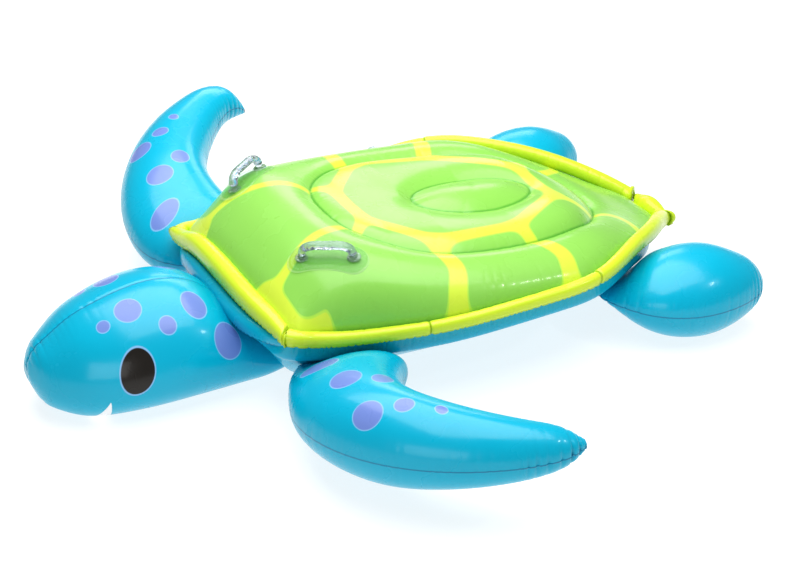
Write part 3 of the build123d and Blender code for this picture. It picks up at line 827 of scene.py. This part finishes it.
# ---- head
def head_half(values):
    half, low, high = values
    tall = high - low
    side = [
        (-0.40 * half, high - 0.045 * tall), (0, high), (0.40 * half, high - 0.045 * tall),
        (0.78 * half, high - 0.22 * tall), (half, low + 0.43 * tall), (0.86 * half, low + 0.16 * tall),
        (0.52 * half, low + 0.025 * tall), (0, low), (-0.52 * half, low + 0.025 * tall),
    ]
    knots = np.arange(len(side))
    return spline(knots, np.array(side), np.linspace(1, 7, 92))


def head():
    """Two side panels joined at the mid seam, printed with spots, eye and mouth."""
    t = np.linspace(0, 1, 150)
    ys = HEAD[0, 0] + (HEAD[-1, 0] - HEAD[0, 0]) * (0.35 * t ** 2 + 0.65 * t ** 1.4)
    values = spline(HEAD[:, 0], HEAD[:, 1:], ys)
    sections = np.stack([head_half(v) for v in values])
    grid = lofted(sections, ys)
    nose = np.array((0, HEAD[0, 0], 0.112))
    grid[0] = nose + (grid[0] - nose) * 0.02
    grid[:, :, 2] = np.maximum(grid[:, :, 2], 0)
    grid[:, :, 0] = np.maximum(grid[:, :, 0], 0)
    top = run_length(grid[:, 0])
    around = np.linalg.norm(np.diff(grid, axis=1), axis=2)
    from_top = np.concatenate([np.zeros((len(ys), 1)), np.cumsum(around, axis=1)], axis=1)
    to_seam = np.minimum(from_top, from_top[:, -1:] - from_top)
    fold = gathers(top, 0.017, 0.6)[:, None]
    nose_share = np.exp(-top / 0.16)[:, None]
    normal = grid_normals(grid, (0, -0.6, 0.13))
    depth = 0.0045 * nose_share * fold * np.exp(-to_seam / 0.03) + 0.0022 * np.exp(-to_seam / 0.004)
    depth[grid[:, :, 2] < 0.002] = 0
    grid = grid - normal * depth[:, :, None]
    grid[:, 0, 0] = grid[:, -1, 0] = 0
    grid[:, :, 0] = np.maximum(grid[:, :, 0], 0)
    grid[:, :, 2] = np.maximum(grid[:, :, 2], 0)
    material = blue_film("head_film", spots=True, face=True)
    marks = {"seam": to_seam, "spot": spot_field(grid, HEAD_SPOTS),
             "eye": eye_field(grid), "mouth": mouth_field(grid)}
    for side, sign in (("left", 1), ("right", -1)):
        shape = grid * np.array((sign, 1, 1))
        obj = skin("head_%s_skin" % side, shape, (0, -0.6, 0.13), marks)
        drop_faces(obj, lambda c: under_hull(c, 0.012))
        place(obj, "hull", material, "blue_vinyl", "head_%s_panel" % side)


def under_hull(points, depth):
    """True where a point lies deeper than depth inside the lower hull."""
    x, y, z = points.T
    values = hull_values(np.clip(y, HULL_FRONT, HULL_REAR))
    half, weld, foot, foot_z = values[:, 0], values[:, 1], values[:, 3], values[:, 4]
    share = np.clip((weld - z) / np.maximum(weld - foot_z, 1e-6), 0, 1)
    edge = half - (half - foot) * np.interp(share, [0, 0.22, 0.52, 0.81, 1], [0, 0.13, 0.38, 0.69, 1])
    return (y > HULL_FRONT + depth) & (np.abs(x) < edge - depth) & (z > foot_z + depth) & (z < weld)


def spot_field(grid, spots):
    """Signed distance to the nearest printed spot."""
    best = np.full(grid.shape[:2], FAR_OFF)
    for centre, axis, along_half, across_half in spots:
        rel = grid - np.array(centre)
        axis = np.array(axis) / np.linalg.norm(axis)
        along = rel @ axis
        across = np.sqrt(np.maximum((rel ** 2).sum(-1) - along ** 2, 0))
        reach = np.hypot(along / along_half, across / across_half)
        best = np.minimum(best, (reach - 1) * min(along_half, across_half))
    return best


def eye_field(grid):
    """Signed distance to the printed eye, an oval leaning back a little."""
    up = grid[:, :, 2] - EYE_Z
    along = grid[:, :, 1] - EYE_Y - EYE_LEAN * up
    reach = np.hypot(along / EYE_HALF_LENGTH, up / EYE_HALF_HEIGHT)
    return np.where(grid[:, :, 0] > FACE_INSIDE, (reach - 1) * EYE_HALF_LENGTH, FAR_OFF)


def mouth_field(grid):
    """Signed distance to the curved white notch at the corner of the mouth."""
    y, z = grid[:, :, 1], grid[:, :, 2]
    front, rear = np.array(MOUTH_FRONT), np.array(MOUTH_REAR)
    ahead = np.interp(z, front[:, 1], front[:, 0]) - y
    behind = y - np.interp(z, rear[:, 1], rear[:, 0])
    above = z - front[-1, 1]
    distance = np.maximum(np.maximum(ahead, behind), above)
    return np.where(grid[:, :, 0] > FACE_INSIDE, distance, FAR_OFF)


# ---- flippers
def flipper_panel(stations, dihedral, upper, arch=None, along=210, around=72):
    """Upper or lower panel of a left flipper, with its distance from the seam."""
    knots = run_length(stations[:, :2])
    at = knots[-1] * (1 - (1 - np.linspace(0, 1, along)) ** 1.25)
    centre_x, centre_y, heading, half, thick = spline(knots, stations, at).T
    half[-1] = thick[-1] = 0.0008
    heading = np.radians(heading)
    angle = np.linspace(0, math.pi, around) * (1 if upper else -1)
    tip = smooth_step(at, knots[-1] * 0.74, knots[-1])
    root = 1 - smooth_step(at, 0.0, 0.12)
    strength = (0.0009 + 0.0062 * tip + 0.0036 * root) * np.minimum(1, half / 0.02)
    front_fold = gathers(at, 0.0185, 0.5)
    back_fold = gathers(at, 0.0205, 1.9)
    fold = np.where(np.cos(angle)[None, :] > 0, front_fold[:, None], back_fold[:, None])
    pull = 0.7 * strength[:, None] * fold * np.abs(np.cos(angle))[None, :] ** 6
    bow = np.cos(angle)[None, :] * (half[:, None] - pull)
    lift = np.sin(angle)[None, :] * thick[:, None]
    z = FLIPPER_ROOT_Z + (centre_x - stations[0, 0]) * math.sin(math.radians(dihedral))
    if arch is not None:
        z = z + spline(knots, arch, at)
    grid = np.stack([
        centre_x[:, None] + bow * np.cos(heading)[:, None],
        centre_y[:, None] + bow * np.sin(heading)[:, None],
        z[:, None] + lift], axis=-1)
    steps = np.linalg.norm(np.diff(grid, axis=1), axis=2)
    run = np.concatenate([np.zeros((along, 1)), np.cumsum(steps, axis=1)], axis=1)
    to_front, to_back = run, run[:, -1:] - run
    to_seam = np.minimum(to_front, to_back)
    normal = grid_normals(grid, grid.mean(axis=(0, 1)) - np.array((0, 0, 0.2 if upper else -0.2)))
    front = front_fold[:, None] * np.exp(-to_front / 0.030)
    back = back_fold[:, None] * np.exp(-to_back / 0.030)
    depth = strength[:, None] * (front + back) + 0.0012 * np.exp(-to_seam / 0.003)
    depth = depth * np.minimum(1, to_seam / 0.002)
    return grid - normal * depth[:, :, None], to_seam


def flipper(kind, side, stations, dihedral, spots):
    """Two welded panels; spots are printed on the upper one before the flipper is bent."""
    sign = 1 if side == "left" else -1
    flip = np.array((sign, 1, 1))
    bent = (kind, side) == ("front", "right")
    shape, arch = (RIGHT_FRONT_FLIPPER, RIGHT_ARCH) if bent else (stations, None)
    material = blue_film("%s_%s_flipper_film" % (kind, side), spots=True)
    for half in ("top", "bottom"):
        upper = half == "top"
        grid, to_seam = flipper_panel(shape, dihedral, upper, arch)
        printed_on, _ = flipper_panel(stations, LEFT_DIHEDRAL, upper)
        field = spot_field(printed_on, spots if upper else [])
        centre = grid.mean(axis=(0, 1)) * flip - np.array((0, 0, 0.2 if upper else -0.2))
        name = "%s_flipper_%s_%s" % (kind, side, half)
        obj = skin(name + "_skin", grid * flip, centre, {"seam": to_seam, "spot": field})
        place(obj, None, material, "blue_vinyl", name)
        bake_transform(obj)


# ---- handles
def slot_outline(count):
    """Unit-step outline of a slot with round ends, about its centre: along, across."""
    straight, radius = PATCH_HALF_LENGTH - PATCH_HALF_WIDTH, PATCH_HALF_WIDTH
    turn_half = np.linspace(-np.pi / 2, np.pi / 2, count)
    right = np.stack([straight + radius * np.cos(turn_half), radius * np.sin(turn_half)], 1)
    side = np.linspace(straight, -straight, count)[1:-1]
    upper = np.stack([side, np.full(len(side), radius)], 1)
    left = right * (-1, -1)
    lower = upper * (-1, -1)
    return np.vstack([right, upper, left, lower])


def handle_patch(side, sign):
    """Clear film patch lying on the ring, raised along its welded border."""
    outline = slot_outline(26)
    share = np.r_[0.004, np.linspace(0.08, 0.80, 12), np.linspace(0.82, 1.0, 16)]
    heading = math.radians(HANDLE_HEADING)
    along, across = outline[:, None, 0] * share, outline[:, None, 1] * share
    x = HANDLE_CENTRE[0] + along * math.cos(heading) + across * math.sin(heading)
    y = HANDLE_CENTRE[1] + along * math.sin(heading) - across * math.cos(heading)
    border = (1 - share) * PATCH_HALF_WIDTH
    ridge = 0.0012 * np.exp(-((border - 0.0035) / 0.0016) ** 2)
    z = crown_height(x, y) + 0.0016 + ridge - 0.0012 * np.exp(-border / 0.0008)
    grid = np.stack([x * sign, y, z], axis=-1)
    seam = np.broadcast_to(border, x.shape)
    obj = skin("handle_patch_%s_skin" % side, grid, (0.2 * sign, -0.2, 0), {"seam": seam}, wrap=True)
    place(obj, "hull", PATCH_FILM, "clear_vinyl", "handle_patch_%s" % side)


def handle_foot(side, sign, end, place_name):
    """Moulded clear foot: a disc with a round boss that holds one end of the grip."""
    profile = curve_through([(0.0002, 0.0105), (0.004, 0.0102), (0.0072, 0.0075), (0.0085, 0.0035),
                             (0.0115, 0.0022), (0.0155, 0.0018), (0.0168, 0.0008), (0.0168, -0.0006)], 40)
    end = end - GRIP_UP * 0.0075
    axis = (GRIP_ENDS[1] - GRIP_ENDS[0]) / np.linalg.norm(GRIP_ENDS[1] - GRIP_ENDS[0])
    cross = np.cross(GRIP_UP, axis)
    turns = np.linspace(0, 2 * np.pi, 48, endpoint=False)
    ring = np.cos(turns)[:, None, None] * axis + np.sin(turns)[:, None, None] * cross
    grid = end + ring * profile[None, :, :1] + GRIP_UP * profile[None, :, 1:]
    name, flip = "handle_foot_%s_%s" % (place_name, side), np.array((sign, 1, 1))
    obj = skin(name + "_skin", grid * flip, end * flip, {"seam": np.full(grid.shape[:2], FAR_OFF)}, wrap=True)
    place(obj, "hull", CLEAR_FILM, "clear_vinyl", name)


def handle_grip(side, sign):
    """Soft clear grip, bowed between its feet and lumpy where the film is folded."""
    middle = GRIP_ENDS.mean(axis=0)
    span = np.linalg.norm(GRIP_ENDS[1] - GRIP_ENDS[0])
    axis = (GRIP_ENDS[1] - GRIP_ENDS[0]) / span
    cross = np.cross(GRIP_UP, axis)
    half = span / 2
    rail = [(-half, 0), (-half + 0.006, 0.62 * GRIP_RISE), (-half + 0.024, 0.96 * GRIP_RISE), (0, GRIP_RISE),
            (half - 0.024, 0.96 * GRIP_RISE), (half - 0.006, 0.62 * GRIP_RISE), (half, 0)]
    path = curve_through(rail, 120)
    slope = unit_rows(np.gradient(path, axis=0))
    out = np.stack([-slope[:, 1], slope[:, 0]], 1)
    length = run_length(path)
    turns = np.linspace(0, 2 * np.pi, 40, endpoint=False)
    lump = 1 - 0.16 * gathers(length, 0.013, 0.8)[:, None] * np.abs(np.cos(turns)) ** 2
    to_end = np.minimum(length, length[-1] - length)
    close = np.sqrt(np.clip(to_end / 0.004, 0.02, 1))[:, None]
    wide = 0.0125 * np.cos(turns)[None, :] * lump * close
    thick = 0.0092 * np.sin(turns)[None, :] * lump * close
    centre = middle + path[:, :1] * axis + path[:, 1:] * GRIP_UP
    up = out[:, :1] * axis + out[:, 1:] * GRIP_UP
    grid = centre[:, None, :] + wide[:, :, None] * cross + thick[:, :, None] * up[:, None, :]
    flip = np.array((sign, 1, 1))
    obj = skin("handle_grip_%s_skin" % side, grid * flip, centre[60] * flip,
               {"seam": np.full(grid.shape[:2], FAR_OFF)}, shut=True)
    cap_ends(obj)
    place(obj, "%s_grip" % side, CLEAR_FILM, "clear_vinyl", "handle_grip_%s" % side)


def handles():
    for side, sign in (("left", 1), ("right", -1)):
        handle_patch(side, sign)
        for place_name, end in zip(("front", "rear"), GRIP_ENDS):
            handle_foot(side, sign, end, place_name)
        handle_grip(side, sign)


# ---- carry-over
def plain_finish(name, colour, tint, roughness=0.3):
    return Film(name, colour, tint, roughness).done()


def clear_film(name, cast, transmission, rough_low, rough_high, waviness):
    """Clear vinyl: it bends the light behind it and shows soft silvery streaks."""
    film = Film(name, cast[0], cast[1], 0.1)
    shader = film.shader
    shader.inputs["Transmission Weight"].default_value = transmission
    shader.inputs["IOR"].default_value = 1.46
    shader.inputs["Specular IOR Level"].default_value = 0.6
    film.link(film.ramp(film.noise(70.0, 3.0), 0.35, 0.65, rough_low, rough_high), "Roughness")
    bump = film.nodes.new("ShaderNodeBump")
    bump.inputs["Strength"].default_value = waviness
    bump.inputs["Distance"].default_value = 0.003
    film.links.new(film.noise(110.0, 2.0), bump.inputs["Height"])
    film.link(bump.outputs["Normal"], "Normal")
    return film


def patch_film():
    """Thin clear film over the green, its welded border lighter."""
    film = clear_film("clear_patch_film", (srgb(104, 188, 84), srgb(96, 180, 78)), 0.0, 0.12, 0.22, 0.15)
    film.shade("seam", srgb(206, 236, 180), 0.0012, 0.0030, 0.8)
    film.shader.inputs["Alpha"].default_value = 0.34
    return film.done()


def carried_over():
    """Finish the valves and the inner baffles, which keep their CAD shape."""
    valve = plain_finish("valve_film", srgb(226, 234, 238), srgb(210, 222, 228), 0.32)
    baffle = plain_finish("baffle_film", srgb(200, 214, 220), srgb(186, 202, 210), 0.35)
    for name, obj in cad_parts.items():
        if "valve" in name or "baffle" in name:
            obj.data.materials.clear()
            obj.data.materials.append(valve if "valve" in name else baffle)


LIME_FILM = lime_film("lime_rim_film")
CLEAR_FILM = clear_film("clear_grip_film", (srgb(240, 246, 252), srgb(168, 184, 204)),
                        0.86, 0.01, 0.06, 0.8).done()
PATCH_FILM = patch_film()


# ---- floor and lights
FLOOR_GLOW = 0.66


def studio():
    """Seamless white floor, itself faintly lit."""
    grid = np.array([[(x, y, 0.0) for y in np.linspace(-9, 9, 19)] for x in np.linspace(-9, 9, 19)])
    floor = skin("studio_floor", grid, (0, 0, -1))
    material = bpy.data.materials.new("studio_floor_paint")
    material.use_nodes = True
    shader = material.node_tree.nodes["Principled BSDF"]
    shader.inputs["Base Color"].default_value = (0.34, 0.34, 0.34, 1)
    shader.inputs["Roughness"].default_value = 0.7
    shader.inputs["Specular IOR Level"].default_value = 0.05
    shader.inputs["Emission Color"].default_value = (1, 1, 1, 1)
    shader.inputs["Emission Strength"].default_value = FLOOR_GLOW
    floor.data.materials.append(material)


def softbox(name, place_at, aim, wide, tall, power):
    light = bpy.data.lights.new(name, "AREA")
    light.shape = "RECTANGLE"
    light.size, light.size_y = wide, tall
    light.energy = power
    obj = bpy.data.objects.new(name, light)
    obj.location = place_at
    obj.rotation_euler = (Vector(aim) - Vector(place_at)).to_track_quat("-Z", "Y").to_euler()
    bpy.context.scene.collection.objects.link(obj)


def camera():
    azimuth, elevation, distance = math.radians(62.343), math.radians(29.484), 3.8364
    target = Vector((0.16523, -0.020, 0.20667))
    away = Vector((math.sin(azimuth) * math.cos(elevation), -math.cos(azimuth) * math.cos(elevation),
                   math.sin(elevation)))
    data = bpy.data.cameras.new("camera")
    data.sensor_width = 36
    data.lens = 73.10
    obj = bpy.data.objects.new("camera", data)
    obj.location = target + away * distance
    obj.rotation_euler = away.to_track_quat("Z", "Y").to_euler()
    bpy.context.scene.collection.objects.link(obj)
    bpy.context.scene.camera = obj


def lights():
    world = bpy.data.worlds.new("studio_world")
    world.use_nodes = True
    world.node_tree.nodes["Background"].inputs["Color"].default_value = (1, 1, 1, 1)
    world.node_tree.nodes["Background"].inputs["Strength"].default_value = 0.22
    bpy.context.scene.world = world
    bpy.context.scene.view_settings.view_transform = "Standard"
    bpy.context.scene.view_settings.look = "Medium High Contrast"
    softbox("overhead_softbox", (-0.3, 0.1, 2.6), (-0.3, 0.101, 0.0), 4.0, 2.8, 112)
    softbox("back_softbox", (-2.6, 1.4, 1.5), (0.0, 0.0, 0.2), 1.8, 0.8, 10)
    softbox("camera_side_fill", (2.6, -2.4, 1.0), (0.2, -0.1, 0.15), 1.8, 1.2, 14)
    softbox("glint", (1.9, 1.7, 2.0), (0.35, 0.55, 0.15), 0.28, 0.20, 6)


outer_ring()
riding_pad()
seat_middle()
rim_strips()
flank()
head()
handles()
flipper("front", "left", FRONT_FLIPPER, LEFT_DIHEDRAL, FLIPPER_SPOTS)
flipper("front", "right", FRONT_FLIPPER, RIGHT_DIHEDRAL, FLIPPER_SPOTS)
flipper("rear", "left", REAR_FLIPPER, 0.0, [])
flipper("rear", "right", REAR_FLIPPER, 0.0, [])
carried_over()
studio()
lights()
camera()
